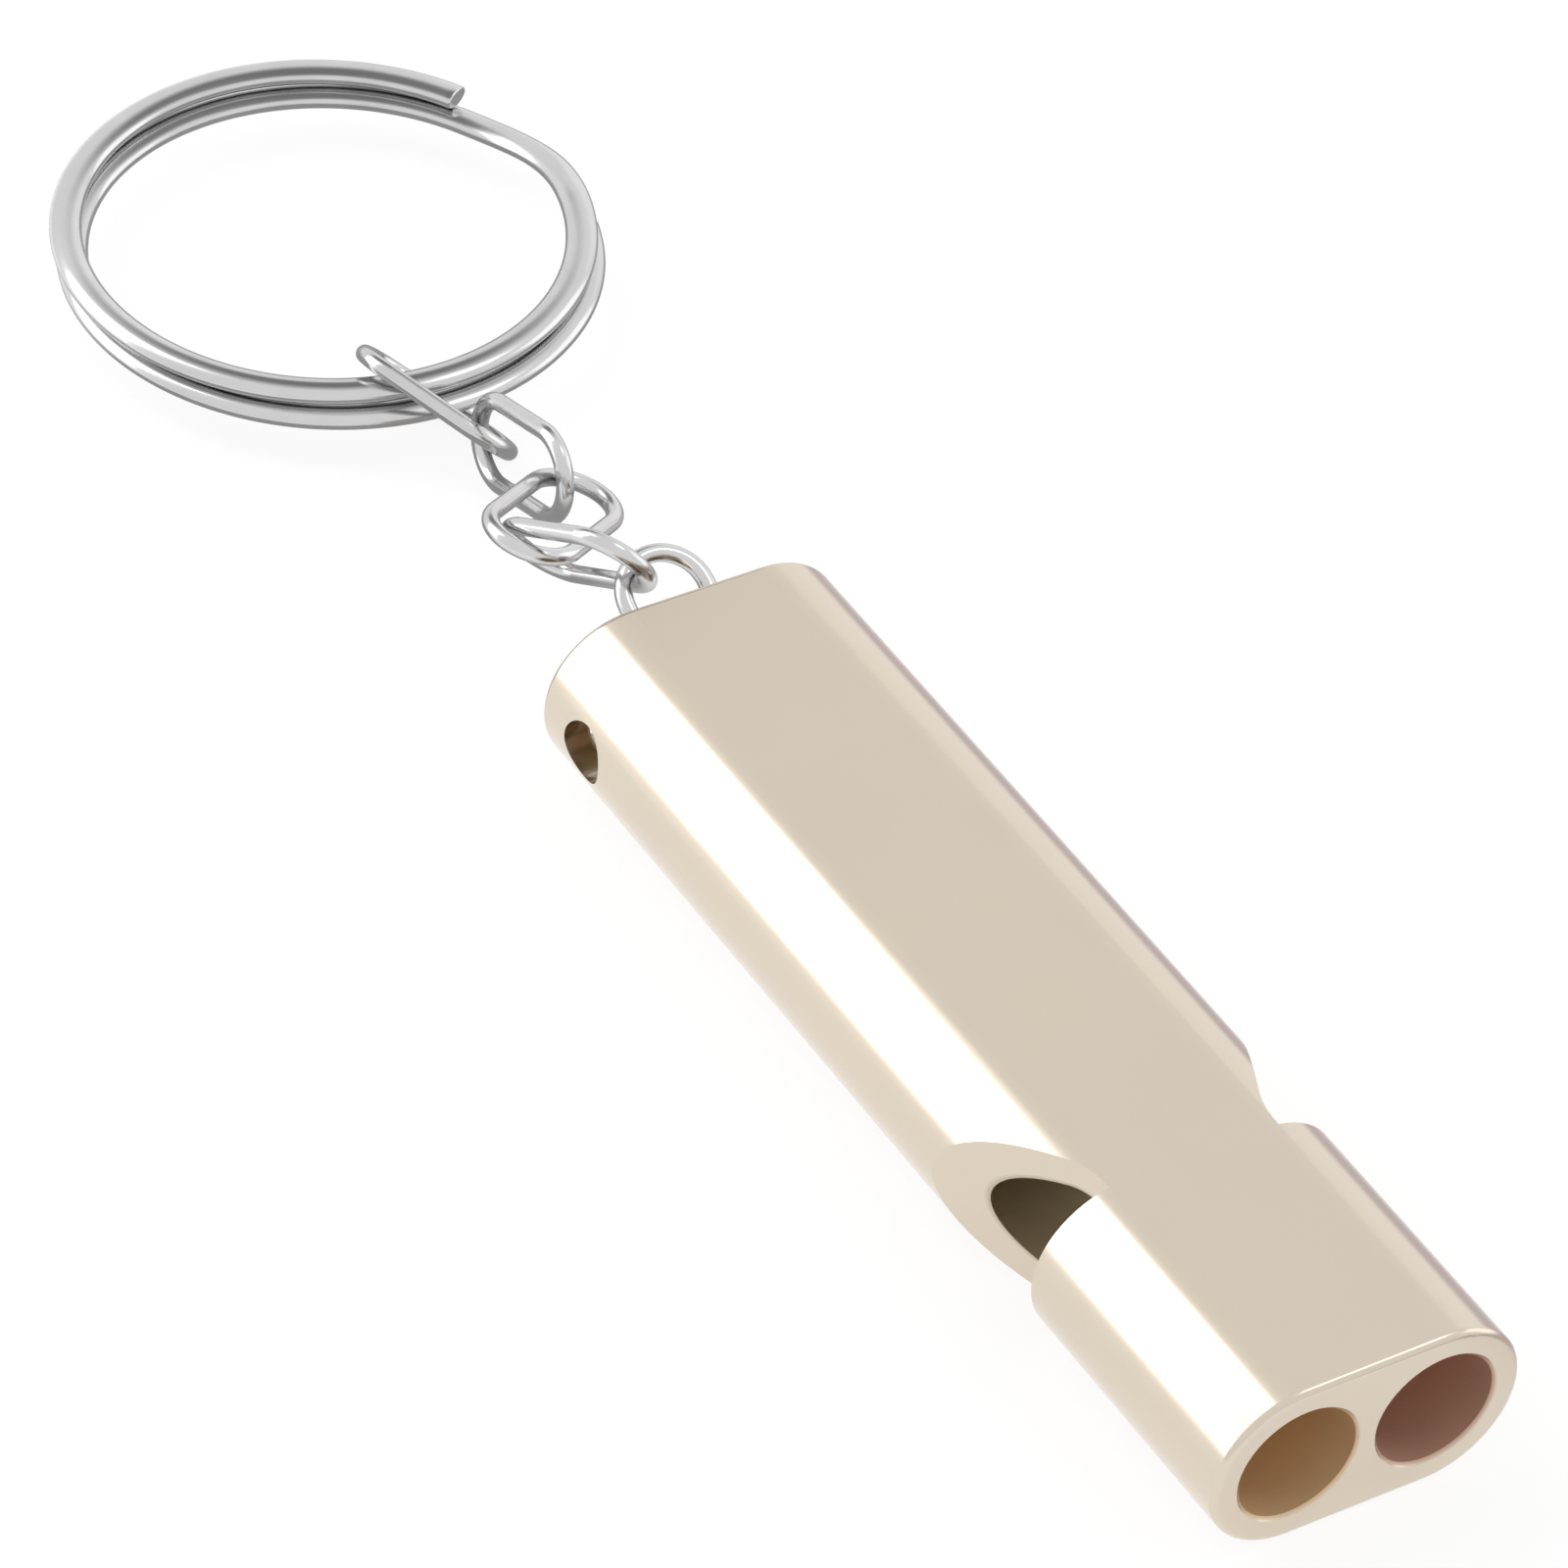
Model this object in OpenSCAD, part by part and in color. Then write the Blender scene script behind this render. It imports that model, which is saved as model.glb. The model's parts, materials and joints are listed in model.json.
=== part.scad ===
// Double-tube survival whistle on a short link chain with a split key ring.
// Origin: middle of the flat underside. +Y runs from the mouth to the ring, +Z is up.

/* [Body] */
// Length from the mouth face to the ring end
body_length = 52; // [46:0.5:64]
// Bore of each tube
bore_d = 5.5; // [4.5:0.1:6.5]
// Wall round each bore
wall = 1.25; // [0.9:0.05:2]
// Web between the two bores
web = 1; // [0.8:0.1:2]
// Rounding of the outer edges at both ends
edge_round = 0.3; // [0.1:0.05:0.6]
// Chamfer at the mouth of each bore
bore_chamfer = 0.15; // [0.05:0.05:0.4]

/* [Voicing notches] */
// Distance from the mouth face to the upright wall of the notch
notch_start = 13.2; // [10:0.1:18]
// Depth of the notch at that wall
notch_depth = 3.2; // [2:0.1:4]
// Length of the level floor beside the wall
notch_floor = 1.2; // [0.6:0.1:2]
// Slope of the lip that runs out of the floor
lip_angle = 27; // [18:1:35]
// Largest radius between the floor and the lip
lip_radius = 4; // [1:0.5:6]

/* [Fipples] */
// Length of the plug behind the mouth
fipple_length = 7.5; // [4:0.1:9]
// Height of the windway that its flat leaves open
windway = 0.9; // [0.5:0.05:1.4]
// Clearance of the plugs in their bores
plug_gap = 0.02; // [0.01:0.01:0.1]
// Chamfer on the ends of the plugs
plug_chamfer = 0.2; // [0.1:0.05:0.5]

/* [Stoppers] */
// Length of each stopper
stopper_length = 3; // [2:0.1:4]
// Air column of the low tube, from the notch wall to its stopper, as far as the cross hole lets it
low_column = 29; // [24:0.1:30]
// Air column of the high tube, with the same limit
high_column = 24; // [18:0.1:28]

/* [Cross hole] */
// Diameter of the hole drilled across both tubes
cross_hole_d = 2.8; // [2:0.1:3.4]
// Distance from the ring end to the hole's axis
cross_hole_inset = 3.3; // [2.6:0.1:5]

/* [Chain links] */
// Wire of the links
wire_d = 0.8; // [0.6:0.05:0.9]
// Outer length of a link
link_length = 8.65; // [8:0.05:9.5]
// Outer width of a link
link_width = 4.7; // [4.4:0.05:5.2]
// Clearance between one link's wire and the next
link_gap = 0.15; // [0.1:0.01:0.2]

/* [Split ring] */
// Outer diameter of the ring
ring_d = 24.8; // [22:0.1:28]
// Width of the flat wire
ring_wire_w = 1.44; // [1.3:0.02:1.8]
// Height of the flat wire
ring_wire_h = 0.7; // [0.5:0.02:0.74]
// Gap between the two turns
ring_turn_gap = 0.42; // [0.41:0.01:0.5]
// Rounding of the wire's edges
ring_edge = 0.31; // [0.1:0.01:0.34]

/* [Hidden] */
$fn = 64;
through = 1;
tube_d = bore_d + 2 * wall;
tube_pitch = bore_d + web;
body_width = tube_pitch + tube_d;
mouth_y = -body_length / 2;
far_y = body_length / 2;
axis_z = tube_d / 2;
notch_y = mouth_y + notch_start;
plug_d = bore_d - 2 * plug_gap;
column_limit = body_length - notch_start - stopper_length - cross_hole_inset - cross_hole_d / 2 - link_gap;
lip_steps = 9;

link_reach = link_length - wire_d;
link_bend = (link_width - wire_d) / 2;
ring_r = (ring_d - ring_wire_w) / 2;
ring_pitch = ring_wire_h + ring_turn_gap;
// Part of a turn over which the wire steps down to the second turn
ring_jog = 46;
jog_steps = 24;
// How far the step's ends reach into the turns, and how much smaller its outline is
step_bury = 1;
step_inset = 0.02;
wire_edge = min(ring_edge, ring_wire_h / 2 - 2 * step_inset);

// Where the first link's wire lies in the cross hole, and how steeply the link rises
first_shift = 0.19;
first_drop = (cross_hole_d - wire_d) / 2 - link_gap;
first_rise = 28.5;
// For each further link: place on the last link's end, swing and roll on it, lean of its own end
link_poses = [
    [-35.5, -15.5, 76, 41],
    [-65, 160, 40.5, 55.5],
    [50.5, 22, 77, 6.5],
    [-3.5, -10, 127.5, -51]
];
// The ring on the last link: place on its end, swing, roll, drop, slack and turn of its free end
ring_pose = [37.7, 17.7, -42.7, 0.19, 1.38, 42];

metal = "#d2c8b7";
dull = "#a89878";
nickel = "#c8c9cc";

// A bar along +Y with a rounded rim at both ends
module rounded_rod(d, length, rim) {
    rotate([-90, 0, 0])
        rotate_extrude() {
            square([d / 2 - rim, length]);
            translate([0, rim])
                square([d / 2, length - 2 * rim]);
            for (end = [rim, length - rim])
                translate([d / 2 - rim, end])
                    intersection() {
                        circle(rim);
                        translate([-d / 2, -rim])
                            square([d, 2 * rim]);
                    }
        }
}

// A slab along +Y whose end edges are rounded, centred on X and Z
module rounded_slab(width, height, length, rim) {
    rotate([0, -90, 0])
        linear_extrude(width, center = true) {
            translate([-height / 2, rim])
                square([height, length - 2 * rim]);
            translate([rim - height / 2, 0])
                square([height - 2 * rim, length]);
            for (x = [-1, 1], end = [rim, length - rim])
                translate([x * (height / 2 - rim), end])
                    circle(rim);
        }
}

module body_blank() {
    translate([0, mouth_y, axis_z]) {
        rounded_slab(tube_pitch, tube_d, body_length, edge_round);
        for (side = [-1, 1])
            translate([side * tube_pitch / 2, 0, 0])
                rounded_rod(tube_d, body_length, edge_round);
    }
}

// Bore with a chamfer at both mouths, along +Y from the mouth face
module bore() {
    rotate([-90, 0, 0]) {
        translate([0, 0, -through])
            cylinder(d = bore_d, h = body_length + 2 * through);
        for (end = [0, 1])
            translate([0, 0, end * body_length])
                mirror([0, 0, end])
                    translate([0, 0, -bore_chamfer])
                        cylinder(d1 = bore_d + 4 * bore_chamfer, d2 = bore_d, h = 2 * bore_chamfer);
    }
}

// Cutter of the notch in the +X side: an upright wall, a level floor and a lip that curves out of it
module notch() {
    reach = notch_depth + through;
    blend = min(lip_radius, notch_floor / tan(lip_angle / 2));
    curve_start = notch_floor - blend * tan(lip_angle / 2);
    curve = [
        for (k = [lip_steps : -1 : 0])
            let (turn = lip_angle * k / lip_steps)
            [blend * (1 - cos(turn)), curve_start + blend * sin(turn)]
    ];
    translate([body_width / 2 - notch_depth, notch_y, -through])
        linear_extrude(tube_d + 2 * through)
            polygon(concat(
                [[0, 0], [reach, 0], [reach, notch_floor + reach / tan(lip_angle)]],
                curve
            ));
}

module whistle_body() {
    color(metal)
        difference() {
            body_blank();
            for (side = [-1, 1])
                translate([side * tube_pitch / 2, mouth_y, axis_z])
                    bore();
            notch();
            mirror([1, 0, 0])
                notch();
            translate([0, far_y - cross_hole_inset, axis_z])
                rotate([0, 90, 0])
                    cylinder(d = cross_hole_d, h = body_width + 2 * through, center = true);
        }
}

// A plug along +Y with chamfered ends
module plug(length) {
    rotate([-90, 0, 0])
        rotate_extrude()
            polygon([
                [0, 0],
                [plug_d / 2 - plug_chamfer, 0],
                [plug_d / 2, plug_chamfer],
                [plug_d / 2, length - plug_chamfer],
                [plug_d / 2 - plug_chamfer, length],
                [0, length]
            ]);
}

// Plug with a flat on its +X side, whose inner end lies flush with the notch wall
module fipple() {
    translate([tube_pitch / 2, notch_y - fipple_length, axis_z])
        difference() {
            plug(fipple_length);
            translate([bore_d / 2 - windway, -through, -bore_d])
                cube([bore_d, fipple_length + 2 * through, 2 * bore_d]);
        }
}

module right_fipple() {
    color(dull)
        fipple();
}

module left_fipple() {
    color(dull)
        mirror([1, 0, 0])
            fipple();
}

module stopper(side, column) {
    color(dull)
        translate([side * tube_pitch / 2, notch_y + column, axis_z])
            plug(stopper_length);
}

module left_stopper() {
    stopper(-1, min(low_column, column_limit));
}

module right_stopper() {
    stopper(1, min(high_column, column_limit));
}

// A link of round wire: middle of its near end at the origin, long axis +Y, width along X
module oval_link() {
    for (end = [0, 1])
        translate([0, end ? link_reach - link_bend : link_bend, 0])
            rotate([0, 0, end ? 0 : 180])
                rotate_extrude(angle = 180)
                    translate([link_bend, 0])
                        circle(d = wire_d);
    for (side = [-1, 1])
        translate([side * link_bend, link_bend, 0])
            rotate([-90, 0, 0])
                cylinder(d = wire_d, h = link_reach - 2 * link_bend);
}

// The frame of a link's far wire, at an angle from its tip, swung about the wire
module at_far_wire(place, swing) {
    translate([0, link_reach - link_bend, 0])
        rotate([0, 0, -place])
            translate([0, link_bend, 0])
                rotate([swing, 0, 0])
                    children();
}

// The next link, hooked over the far wire of this one
module hang(pose) {
    at_far_wire(pose[0], pose[1])
        translate([0, -wire_d - link_gap, 0])
            rotate([0, pose[2], 0])
                translate([0, link_bend, 0])
                    rotate([0, 0, -pose[3]])
                        translate([0, -link_bend, 0])
                            children();
}

// The frame of link k on the chain, counted from the web
module on_chain(k) {
    if (k == 1)
        translate([0, far_y - cross_hole_inset + first_shift, axis_z - first_drop])
            rotate([first_rise, 0, 0])
                children();
    else
        on_chain(k - 1)
            hang(link_poses[k - 2])
                children();
}

module chain_link(k) {
    color(nickel)
        on_chain(k)
            oval_link();
}

module link_1() {
    chain_link(1);
}

module link_2() {
    chain_link(2);
}

module link_3() {
    chain_link(3);
}

module link_4() {
    chain_link(4);
}

module link_5() {
    chain_link(5);
}

// Outline of the flat wire about its middle, four points to a corner
function wire_outline(inset) = [
    for (corner = [45, 135, 225, 315], turn = [-45, -15, 15, 45]) [
        sign(cos(corner)) * (ring_wire_w / 2 - wire_edge - inset) + wire_edge * cos(corner + turn),
        sign(sin(corner)) * (ring_wire_h / 2 - wire_edge - inset) + wire_edge * sin(corner + turn)
    ]
];

// Height of the wire's middle after a sweep of s degrees from the free upper end
function wire_height(s) =
    s < 360 - ring_jog ? ring_pitch / 2 :
    s > 360 ? -ring_pitch / 2 :
    ring_pitch / 2 * cos(180 * (s - 360 + ring_jog) / ring_jog);

// A point of the outline carried to a sweep of s degrees
function wire_point(s, p) = [(ring_r + p[0]) * cos(s), (ring_r + p[0]) * sin(s), wire_height(s) + p[1]];

// Least distance of the upper turn from the lower one, on points of both outlines
turn_clearance = min([
    for (s = [0 : 4 : 360 - ring_jog], ds = [-ring_jog : 2 : ring_jog])
        let (t = s + 360 + ds)
        if (t < 720 - ring_jog && t - s > 180)
            for (p = wire_outline(0), q = wire_outline(0))
                if (p[1] < 0 && q[1] > 0)
                    norm(wire_point(s, p) - wire_point(t, q))
]);
echo(turn_clearance = turn_clearance);

// The step between the turns, as a sweep of the wire's outline whose ends are buried in them
module ring_step() {
    outline = wire_outline(step_inset);
    count = len(outline);
    start = 360 - ring_jog - step_bury;
    sweep = ring_jog + 2 * step_bury;
    spots = [
        for (k = [0 : jog_steps], p = outline)
            wire_point(start + sweep * k / jog_steps, p)
    ];
    sides = [
        for (k = [0 : jog_steps - 1], i = [0 : count - 1])
            let (a = k * count + i, b = k * count + (i + 1) % count)
            each [[a, b, a + count], [b, b + count, a + count]]
    ];
    last = jog_steps * count;
    caps = [
        for (i = [1 : count - 2])
            each [[0, i + 1, i], [last, last + i, last + i + 1]]
    ];
    polyhedron(spots, concat(sides, caps));
}

// The flat wire cut across, with round edges
module wire_section() {
    flat_w = ring_wire_w / 2 - wire_edge;
    flat_h = ring_wire_h / 2 - wire_edge;
    square([2 * flat_w, ring_wire_h], center = true);
    square([ring_wire_w, 2 * flat_h], center = true);
    for (x = [-flat_w, flat_w], y = [-flat_h, flat_h])
        translate([x, y])
            circle(wire_edge);
}

// Two turns of flat wire, one over the other, joined by the step
module ring_wire() {
    for (layer = [1, -1])
        rotate_extrude(angle = 360 - ring_jog)
            translate([ring_r, layer * ring_pitch / 2])
                wire_section();
    ring_step();
}

module split_ring() {
    color(nickel)
        on_chain(5)
            at_far_wire(ring_pose[0], ring_pose[1])
                translate([0, ring_r - ring_wire_w / 2 - wire_d / 2 - link_gap - ring_pose[4], 0])
                    rotate([0, ring_pose[2], 0])
                        translate([0, 0, ring_pose[3]])
                            rotate([0, 0, ring_pose[5]])
                                ring_wire();
}

whistle_body();
left_fipple();
right_fipple();
left_stopper();
right_stopper();
link_1();
link_2();
link_3();
link_4();
link_5();
split_ring();
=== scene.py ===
import json
import math

import bmesh
import bpy
from mathutils import Matrix, Vector


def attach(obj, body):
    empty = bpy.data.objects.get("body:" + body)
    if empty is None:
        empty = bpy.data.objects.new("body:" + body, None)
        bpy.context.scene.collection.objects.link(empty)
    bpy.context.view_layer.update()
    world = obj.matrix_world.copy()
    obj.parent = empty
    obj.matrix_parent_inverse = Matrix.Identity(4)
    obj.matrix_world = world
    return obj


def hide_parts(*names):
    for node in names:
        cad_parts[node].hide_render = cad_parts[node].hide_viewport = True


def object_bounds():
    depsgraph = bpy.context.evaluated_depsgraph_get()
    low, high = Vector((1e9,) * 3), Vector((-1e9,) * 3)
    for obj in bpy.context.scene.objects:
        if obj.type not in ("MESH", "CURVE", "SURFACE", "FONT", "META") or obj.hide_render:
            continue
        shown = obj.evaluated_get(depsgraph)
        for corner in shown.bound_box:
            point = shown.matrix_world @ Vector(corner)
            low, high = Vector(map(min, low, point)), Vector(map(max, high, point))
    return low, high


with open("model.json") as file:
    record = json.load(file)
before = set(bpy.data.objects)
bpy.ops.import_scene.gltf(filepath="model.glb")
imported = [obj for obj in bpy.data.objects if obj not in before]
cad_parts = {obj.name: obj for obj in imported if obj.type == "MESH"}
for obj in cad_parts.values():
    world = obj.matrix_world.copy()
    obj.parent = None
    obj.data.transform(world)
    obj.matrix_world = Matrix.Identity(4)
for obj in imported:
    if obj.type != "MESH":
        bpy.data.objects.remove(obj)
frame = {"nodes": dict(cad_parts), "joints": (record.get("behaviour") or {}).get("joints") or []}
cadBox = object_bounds()
nodes = frame["nodes"]
joints = {joint["name"]: joint for joint in frame["joints"]}
print("frame loaded with", len(nodes), "nodes")

plainWhite = (1, 1, 1, 1)


# a shader socket that takes part in ordinary arithmetic
class Flow:
    def __init__(self, tree, socket=None):
        self.tree = tree
        self.socket = socket

    # any node: its settings first, then the values or links of its sockets
    def node(self, kind, settings=None, inputs=None, out=0):
        made = self.tree.nodes.new(kind)
        for key, value in (settings or {}).items():
            setattr(made, key, value)
        for key, value in (inputs or {}).items():
            if isinstance(value, Flow):
                self.tree.links.new(value.socket, made.inputs[key])
            else:
                made.inputs[key].default_value = value
        return Flow(self.tree, made.outputs[out]) if len(made.outputs) else None

    def maths(self, operation, a, b=0.0):
        return self.node("ShaderNodeMath", {"operation": operation}, {0: a, 1: b})

    def __add__(self, other):
        return self.maths("ADD", self, other)

    def __sub__(self, other):
        return self.maths("SUBTRACT", self, other)

    def __mul__(self, other):
        return self.maths("MULTIPLY", self, other)

    def __rsub__(self, other):
        return self.maths("SUBTRACT", other, self)

    __radd__ = __add__
    __rmul__ = __mul__


def newFinish(name):
    finish = bpy.data.materials.new(name)
    finish.use_nodes = True
    finish.node_tree.nodes.clear()
    return finish, Flow(finish.node_tree)


def closeFinish(flow, surface):
    flow.node("ShaderNodeOutputMaterial", {}, {"Surface": surface})


# 6, 7 and 2 are the Mix node's two colours and its mixed one
def mixColours(flow, amount, first, second):
    return flow.node("ShaderNodeMix", {"data_type": "RGBA"},
                     {0: amount, 6: first, 7: second}, out=2)


def mixSurfaces(flow, amount, first, second):
    return flow.node("ShaderNodeMixShader", {}, {0: amount, 1: first, 2: second})


def shine(flow, colour, level=1.0):
    return flow.node("ShaderNodeEmission", {}, {"Color": colour, "Strength": level})


def blend(amount, first, second):
    return first + (second - first) * amount


# from 0 at low to 1 at high
def ramp(flow, value, low, high):
    return flow.node("ShaderNodeMapRange", {},
                     {"Value": value, "From Min": low, "From Max": high})


def hypotenuse(flow, a, b):
    return flow.maths("SQRT", a * a + b * b)


def objectSpot(flow):
    return flow.node("ShaderNodeTexCoord", out="Object")


# the spot's own X, Y or Z
def coordinate(flow, axis):
    return flow.node("ShaderNodeSeparateXYZ", {}, {0: objectSpot(flow)}, out=axis)


def stretchedNoise(flow, across, along):
    spot = flow.node("ShaderNodeMapping", {},
                     {"Vector": objectSpot(flow), "Scale": (across, along, across)})
    return flow.node("ShaderNodeTexNoise", {}, {"Vector": spot, "Scale": 1.0, "Detail": 2.0})


satin = {
    "warm": (0.665, 0.580, 0.474, 1),     # champagne anodised aluminium
    "cool": (0.640, 0.568, 0.478, 1),
    "patchScale": 160,                    # per metre, as all scales here
    "lineAcross": 9000,                   # fine lines drawn along the tubes
    "lineAlong": 90,
    "lineHeight": 0.0000012,
    "lineStrength": 0.35,
    "roughness": 0.17,
    "roughnessPlay": 0.06,
    "boreHalfPitch": 0.00325,
    "boreHeight": 0.004,
    "boreReach": (0.00290, 0.00278),      # outside and inside of the bore's wall
    # painted light and shade: the two like bores take a lighter colour on the left, a darker one
    # on the right, a paler one deeper in
    "boreLeftPaintedLight": (0.84, 0.62, 0.37, 1),    # warm colour of the left bore, painted lighter than the right one
    "boreRightPaintedShade": (0.71, 0.46, 0.345, 1),
    "boreSplit": (-0.001, 0.001),         # across, from the left one's painted light to the right one's painted shade
    "boreDeepPaintedLight": (0.74, 0.655, 0.50, 1),
    "boreDepth": (-0.021, -0.014),        # along, from the mouth's colour to the deep one, which is painted paler and lighter
    "boreRoughness": 0.42,
    "boreMetal": 0.3,
}


# distance from the axis of the nearer bore
def boreDistance(flow):
    side = flow.maths("ABSOLUTE", coordinate(flow, "X")) - satin["boreHalfPitch"]
    rise = coordinate(flow, "Z") - satin["boreHeight"]
    return hypotenuse(flow, side, rise)


def satinChampagne():
    finish, flow = newFinish("satinChampagne")
    patches = stretchedNoise(flow, satin["patchScale"], satin["patchScale"])
    lines = stretchedNoise(flow, satin["lineAcross"], satin["lineAlong"])
    skin = mixColours(flow, patches, satin["warm"], satin["cool"])
    skinRoughness = satin["roughness"] + satin["roughnessPlay"] * lines
    # painted light and shade in the bores: the left one lighter, the right one darker, both
    # paler further in
    right = ramp(flow, coordinate(flow, "X"), *satin["boreSplit"])
    deep = ramp(flow, coordinate(flow, "Y"), *satin["boreDepth"])
    bore = mixColours(flow, right, satin["boreLeftPaintedLight"], satin["boreRightPaintedShade"])
    bore = mixColours(flow, deep, bore, satin["boreDeepPaintedLight"])
    inside = ramp(flow, boreDistance(flow), *satin["boreReach"])
    bump = flow.node("ShaderNodeBump", {}, {
        "Height": lines,
        "Strength": satin["lineStrength"],
        "Distance": satin["lineHeight"],
    })
    shader = flow.node("ShaderNodeBsdfPrincipled", {}, {
        "Base Color": mixColours(flow, inside, skin, bore),
        "Metallic": blend(inside, 1.0, satin["boreMetal"]),
        "Roughness": blend(inside, skinRoughness, satin["boreRoughness"]),
        "Normal": bump,
    })
    closeFinish(flow, shader)
    return finish


turned = {
    "light": (0.74, 0.53, 0.32, 1),       # turned plugs, slightly dull
    "dark": (0.60, 0.41, 0.24, 1),
    "patchScale": 900,
    "roughness": 0.38,
    "roughnessPlay": 0.1,
    "metal": 0.4,
}

nickel = {
    "light": (0.66, 0.66, 0.665, 1),      # bright plated wire
    "dark": (0.55, 0.548, 0.55, 1),
    "patchScale": 420,
    "roughness": 0.15,
    "roughnessPlay": 0.08,
    "metal": 1.0,
}


def patchedMetal(name, look):
    finish, flow = newFinish(name)
    patches = stretchedNoise(flow, look["patchScale"], look["patchScale"])
    shader = flow.node("ShaderNodeBsdfPrincipled", {}, {
        "Base Color": mixColours(flow, patches, look["light"], look["dark"]),
        "Metallic": look["metal"],
        "Roughness": look["roughness"] + look["roughnessPlay"] * patches,
    })
    closeFinish(flow, shader)
    return finish


def dress(name, finish):
    for slot in nodes[name].material_slots:
        slot.material = finish


bodyFinish = satinChampagne()
plugFinish = patchedMetal("turnedPlug", turned)
wireFinish = patchedMetal("brightNickel", nickel)
for name in nodes:
    if name == "whistle_body":
        dress(name, bodyFinish)
    elif name.endswith("fipple") or name.endswith("stopper"):
        dress(name, plugFinish)
    else:
        dress(name, wireFinish)
print("finishes set")


ring = {
    "radius": 0.01166,                    # to the middle of the wire
    "width": 0.00148,                     # the wire is oval
    "height": 0.00091,
    "around": 28,                         # corners of the wire's section
    "gap": 0.00002,                       # the turns all but touch
    "slip": (-0.000337, -0.000602),       # the lower turn sits off the upper one's middle
    "freeEnd": (0.87273, 0.48806, 0.01219),  # from the middle towards the upper free end
    "step": 46,                           # degrees over which the wire changes turns
    "stepParts": 23,
    "turnParts": 157,
    "cutEdge": 0.0001,                    # bevel of the two blunt ends
    "cutParts": 3,
    "sideCorners": 4,                     # only the two end faces have more corners
}


# two turns of wire swept from the free upper end down to the lower one
def windRing():
    shape = bmesh.new()
    bmesh.ops.create_circle(shape, cap_ends=True, segments=ring["around"], radius=0.5)
    pitch = ring["height"] + ring["gap"]
    start = Matrix.Translation((ring["radius"], 0, pitch / 2))
    upright = Matrix.Rotation(math.pi / 2, 4, "X")
    oval = Matrix.Diagonal((ring["width"], ring["height"], 1, 1))
    bmesh.ops.transform(shape, matrix=start @ upright @ oval, verts=list(shape.verts))

    def sweep(section, degrees, parts, middle, shift=(0, 0, 0)):
        swept = bmesh.ops.spin(shape, geom=section, cent=middle, axis=(0, 0, 1), dvec=shift,
                               angle=math.radians(degrees), steps=parts, use_duplicate=False)
        return swept["geom_last"]

    middle = Vector((0, 0, 0))
    section = list(shape.faces) + list(shape.edges) + list(shape.verts)
    section = sweep(section, 360 - ring["step"], ring["turnParts"], middle)
    parts = ring["stepParts"]
    for k in range(parts):                # slow at both ends of the step
        share = (math.cos(math.pi * k / parts) - math.cos(math.pi * (k + 1) / parts)) / 2
        shift = share * Vector((*ring["slip"], -pitch))
        section = sweep(section, ring["step"] / parts, 1, middle, shift)
        middle += shift
    sweep(section, 360 - ring["step"], ring["turnParts"], middle)

    cuts = [face for face in shape.faces if len(face.verts) > ring["sideCorners"]]
    edges = [edge for face in cuts for edge in face.edges]
    bmesh.ops.bevel(shape, geom=edges, offset=ring["cutEdge"], offset_type="OFFSET",
                    segments=ring["cutParts"], profile=0.5, affect="EDGES", material=-1)
    bmesh.ops.recalc_face_normals(shape, faces=list(shape.faces))
    for face in shape.faces:
        face.smooth = len(face.verts) <= ring["sideCorners"]

    hinge = joints["ring_turn"]
    axis = Vector(hinge["axis"]).normalized()
    across = axis.cross(Vector(ring["freeEnd"])).normalized()
    turn = Matrix((across.cross(axis), across, axis)).transposed().to_4x4()
    shape.transform(Matrix.Translation(hinge["pos_m"]) @ turn)
    mesh = bpy.data.meshes.new("ringCoil")
    shape.to_mesh(mesh)
    shape.free()
    coil = bpy.data.objects.new("ringCoil", mesh)
    bpy.context.scene.collection.objects.link(coil)
    mesh.materials.append(wireFinish)
    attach(coil, "ring")
    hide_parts("split_ring")


windRing()
print("ring wound")


camera = {
    "place": (-0.16207, -0.21238, 0.24991),
    "aim": (0.00208, 0.02095, 0.0),
    "roll": 5.857,                        # degrees, right side up
    "lens": 203.7,
    "sensor": 36,
    "clipStart": 0.01,
}


def placeCamera():
    data = bpy.data.cameras.new("photoCamera")
    data.lens = camera["lens"]
    data.sensor_width = camera["sensor"]
    data.clip_start = camera["clipStart"]
    eye = bpy.data.objects.new("photoCamera", data)
    bpy.context.scene.collection.objects.link(eye)
    spot = Vector(camera["place"])
    look = (Vector(camera["aim"]) - spot).to_track_quat("-Z", "Y").to_matrix().to_4x4()
    roll = Matrix.Rotation(math.radians(camera["roll"]), 4, "Z")
    eye.matrix_world = Matrix.Translation(spot) @ look @ roll
    bpy.context.scene.camera = eye


def ray(flow, kind):
    return flow.node("ShaderNodeLightPath", out=kind)


# white to the eye and in the metal, plain light for the rest
def seenDirectly(flow):
    seen = ray(flow, "Is Camera Ray") + ray(flow, "Is Glossy Ray")
    return flow.maths("MINIMUM", seen + ray(flow, "Is Transmission Ray"), 1.0)


ground = {
    "size": 6.0,
    "drop": 0.00005,                      # below the whistle, so that no two faces share a plane
    "tone": (0.58, 0.58, 0.58, 1),
    "glow": 0.62,                         # added for the camera
    "mirrored": 0.72,                     # added for what the metal mirrors
    "clear": 0.55,                        # so that a link that swings below it still shows
    "pinkPaintedShade": (0.66, 0.60, 0.65, 1),        # painted shade on the floor, as the metal sees it on the right
    "pinkFrom": (0.008, 0.020),
    "pinkReach": (0.14, 0.06),
    "greyPaintedShade": (0.42, 0.415, 0.41, 1),       # and painted shade around the ring, as the metal sees it
    "greyFrom": (0.026, 0.034),
    "greySlant": 0.7,                     # it keeps clear of the whistle's left side
    "greySide": (-0.007, 0.0),
    "greyMiddle": (-0.002, 0.048),
    "greyAlong": (-0.576, -0.818),        # towards the camera
    "greyLong": 0.036,
    "greyWide": 0.018,
    "greyFade": (1.3, 0.75),
}


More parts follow.
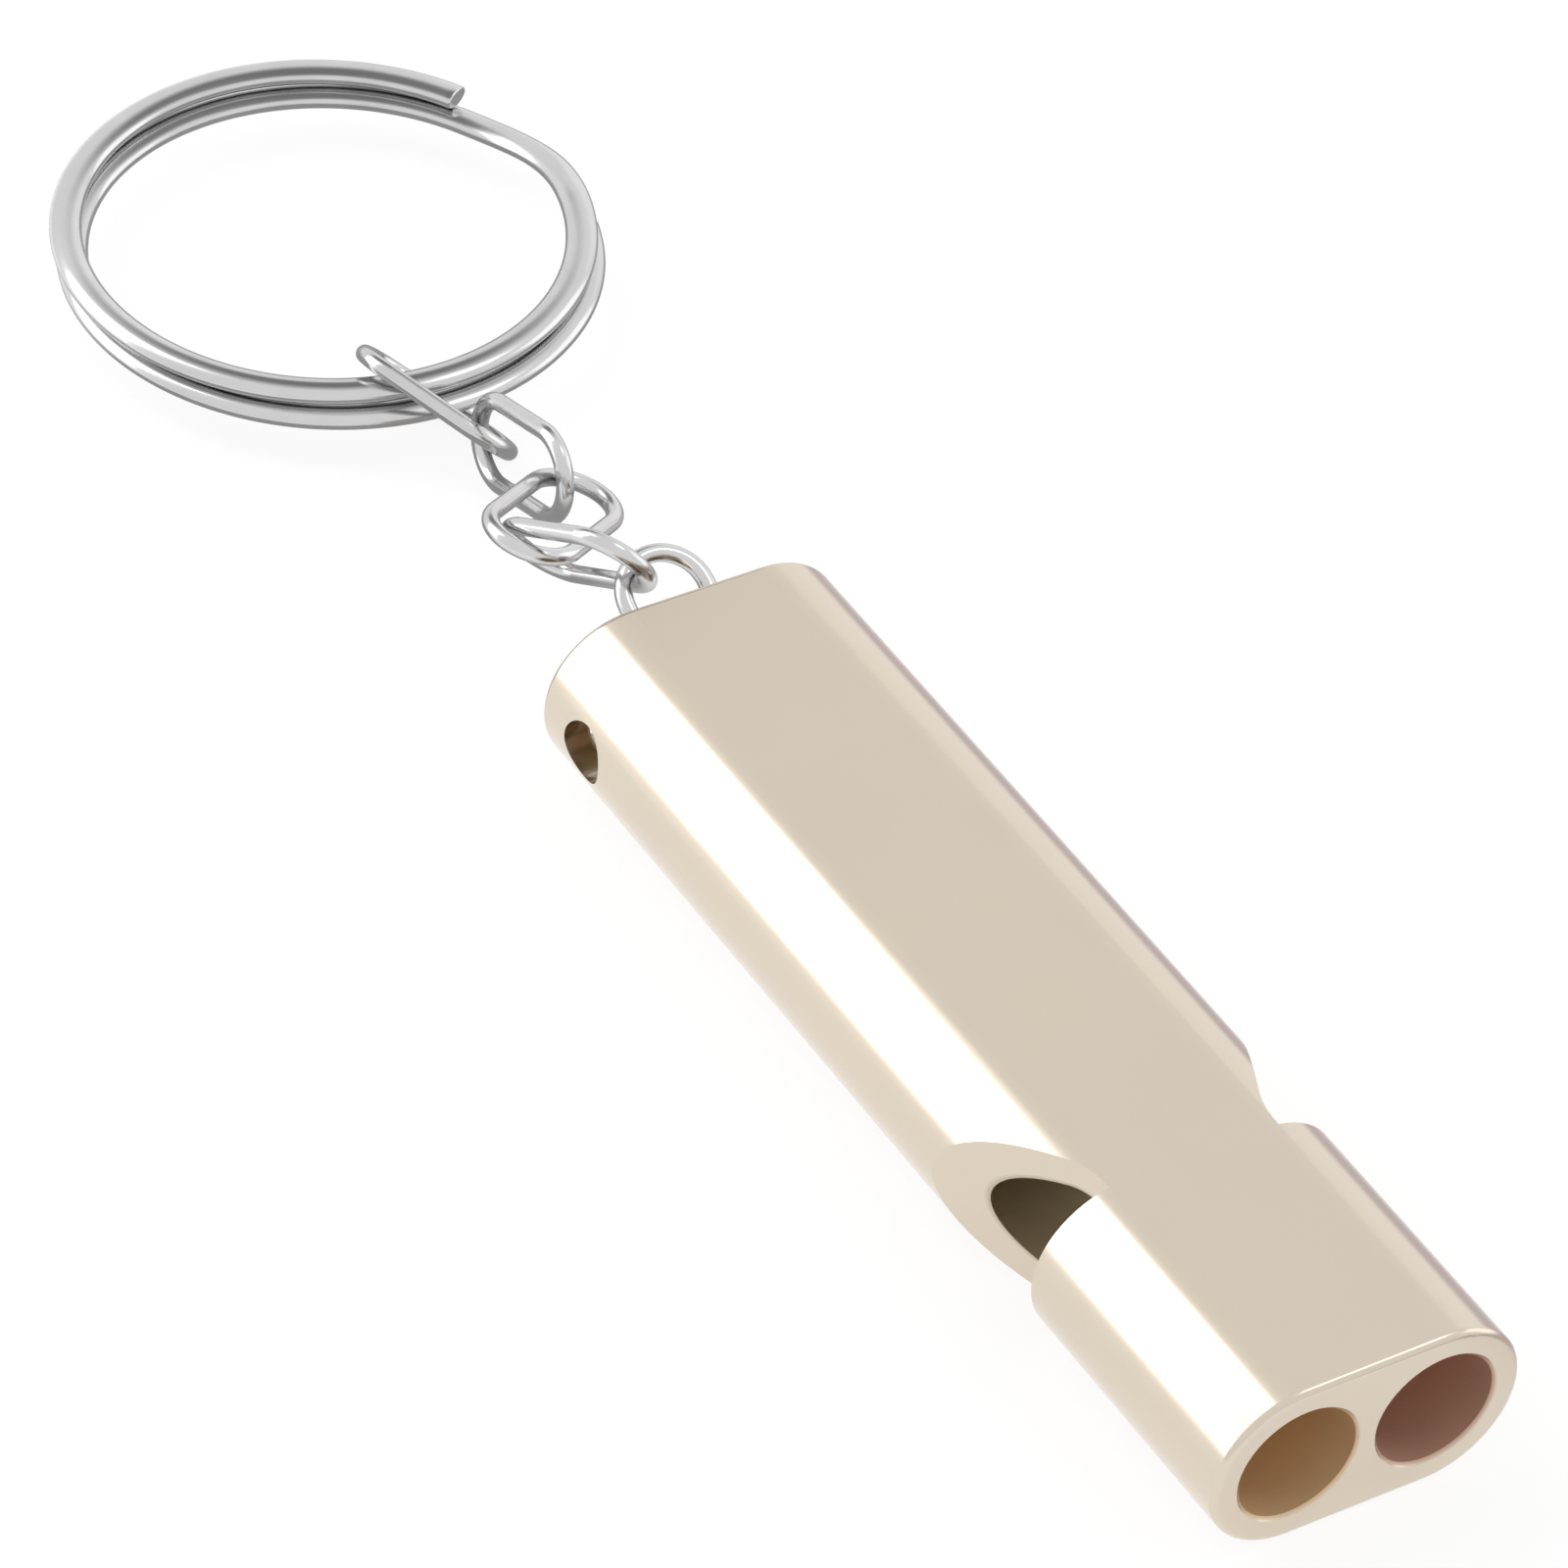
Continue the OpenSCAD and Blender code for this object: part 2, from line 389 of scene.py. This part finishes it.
def paleFloor():
    finish, flow = newFinish("paleFloor")
    x, y = coordinate(flow, "X"), coordinate(flow, "Y")
    toEye, mirrored = ray(flow, "Is Camera Ray"), ray(flow, "Is Glossy Ray")
    paper = flow.node("ShaderNodeBsdfDiffuse", {}, {"Color": ground["tone"]})
    level = blend(toEye, ground["mirrored"], ground["glow"]) * seenDirectly(flow)
    glow = shine(flow, plainWhite, level)
    surface = flow.node("ShaderNodeAddShader", {}, {0: paper, 1: glow})

    # painted shade: a darker pink patch of floor to the right, which only the metal mirrors
    right = ramp(flow, x, *ground["pinkFrom"])
    near = ramp(flow, hypotenuse(flow, x, y), *ground["pinkReach"])
    pinkPaintedShade = shine(flow, ground["pinkPaintedShade"])
    surface = mixSurfaces(flow, right * near * mirrored, surface, pinkPaintedShade)

    # painted shade: a darker grey oval of floor around the ring, which only the metal mirrors
    east, north = x - ground["greyMiddle"][0], y - ground["greyMiddle"][1]
    alongX, alongY = ground["greyAlong"]
    along = (alongX * east + alongY * north) * (1 / ground["greyLong"])
    across = (alongX * north - alongY * east) * (1 / ground["greyWide"])
    oval = ramp(flow, hypotenuse(flow, along, across), *ground["greyFade"])
    behind = ramp(flow, y, *ground["greyFrom"])
    slant = x + ground["greySlant"] * (y - ground["greyFrom"][0])
    beside = ramp(flow, slant, *ground["greySide"])
    greyPaintedShade = shine(flow, ground["greyPaintedShade"])
    surface = mixSurfaces(flow, oval * behind * beside * mirrored, surface, greyPaintedShade)

    clear = flow.node("ShaderNodeBsdfTransparent")
    closeFinish(flow, mixSurfaces(flow, ground["clear"] * toEye, surface, clear))
    return finish


def layFloor():
    bpy.ops.mesh.primitive_plane_add(size=ground["size"],
                                     location=(0, 0, cadBox[0].z - ground["drop"]))
    floor = bpy.context.object
    floor.name = "floor"
    floor.data.materials.append(paleFloor())


lights = {
    "worldSeen": 1.0,                     # to the camera and in the metal
    "worldLight": 0.55,
    "softboxLow": (-0.486, 0.385, 0.0),   # lower and upper edge of the softbox on the left
    "softboxHigh": (-0.078, 0.385, 0.48),
    "softboxAlong": (0, -1, 0),
    "softboxLength": 0.36,
    "softboxLevel": 1.9,
    "lamps": {                            # place, length, height and level, aimed at the whistle
        "rimLamp": ((0.35, -0.12, 0.72), 0.24, 0.24, 1.6),   # for the edge of the mouth
        "sideLamp": ((0.66, 0.49, 0.22), 0.6, 0.44, 0.14),   # weak, for the round right side
        "ringLamp": ((0.76, -0.16, 0.24), 0.56, 0.55, 0.6),  # for the ring beside the chain
    },
}


# level is the brightness of the lamp's face, where 1 is white
def hangLamp(name, length, height, level, where):
    data = bpy.data.lights.new(name, "AREA")
    data.shape = "RECTANGLE"
    data.size = length
    data.size_y = height
    data.energy = level * math.pi * length * height
    lamp = bpy.data.objects.new(name, data)
    bpy.context.scene.collection.objects.link(lamp)
    lamp.matrix_world = where


def lightStudio():
    world = bpy.data.worlds.new("studioWorld")
    bpy.context.scene.world = world
    world.use_nodes = True
    world.node_tree.nodes.clear()
    flow = Flow(world.node_tree)
    level = blend(seenDirectly(flow), lights["worldLight"], lights["worldSeen"])
    back = flow.node("ShaderNodeBackground", {}, {"Color": plainWhite, "Strength": level})
    flow.node("ShaderNodeOutputWorld", {}, {"Surface": back})

    low, high = Vector(lights["softboxLow"]), Vector(lights["softboxHigh"])
    up = (high - low).normalized()
    along = Vector(lights["softboxAlong"])
    turn = Matrix((along, up, along.cross(up))).transposed().to_4x4()
    hangLamp("softbox", lights["softboxLength"], (high - low).length, lights["softboxLevel"],
             Matrix.Translation((low + high) / 2) @ turn)
    for name, (spot, length, height, level) in lights["lamps"].items():
        aim = (-Vector(spot)).to_track_quat("-Z", "Y").to_matrix().to_4x4()
        hangLamp(name, length, height, level, Matrix.Translation(spot) @ aim)


# a small dark card close over the ring, which only the metal sees
card = {
    "place": (0.0085, 0.071, 0.03),
    "size": 0.052,
    "tone": (0.24, 0.24, 0.24, 1),
    "fade": (0.024, 0.010),               # clear beyond the first, full within the second
}


def hangCard():
    finish, flow = newFinish("darkCard")
    reach = flow.node("ShaderNodeVectorMath", {"operation": "LENGTH"},
                      {0: objectSpot(flow)}, out="Value")
    clear = flow.node("ShaderNodeBsdfTransparent")
    dark = shine(flow, card["tone"])
    closeFinish(flow, mixSurfaces(flow, ramp(flow, reach, *card["fade"]), clear, dark))
    bpy.ops.mesh.primitive_plane_add(size=card["size"], location=card["place"])
    sheet = bpy.context.object
    sheet.name = "darkCard"
    sheet.data.materials.append(finish)
    sheet.visible_camera = False
    sheet.visible_shadow = False
    sheet.visible_diffuse = False


placeCamera()
layFloor()
lightStudio()
hangCard()
bpy.context.scene.view_settings.view_transform = "Standard"
print("studio lit")
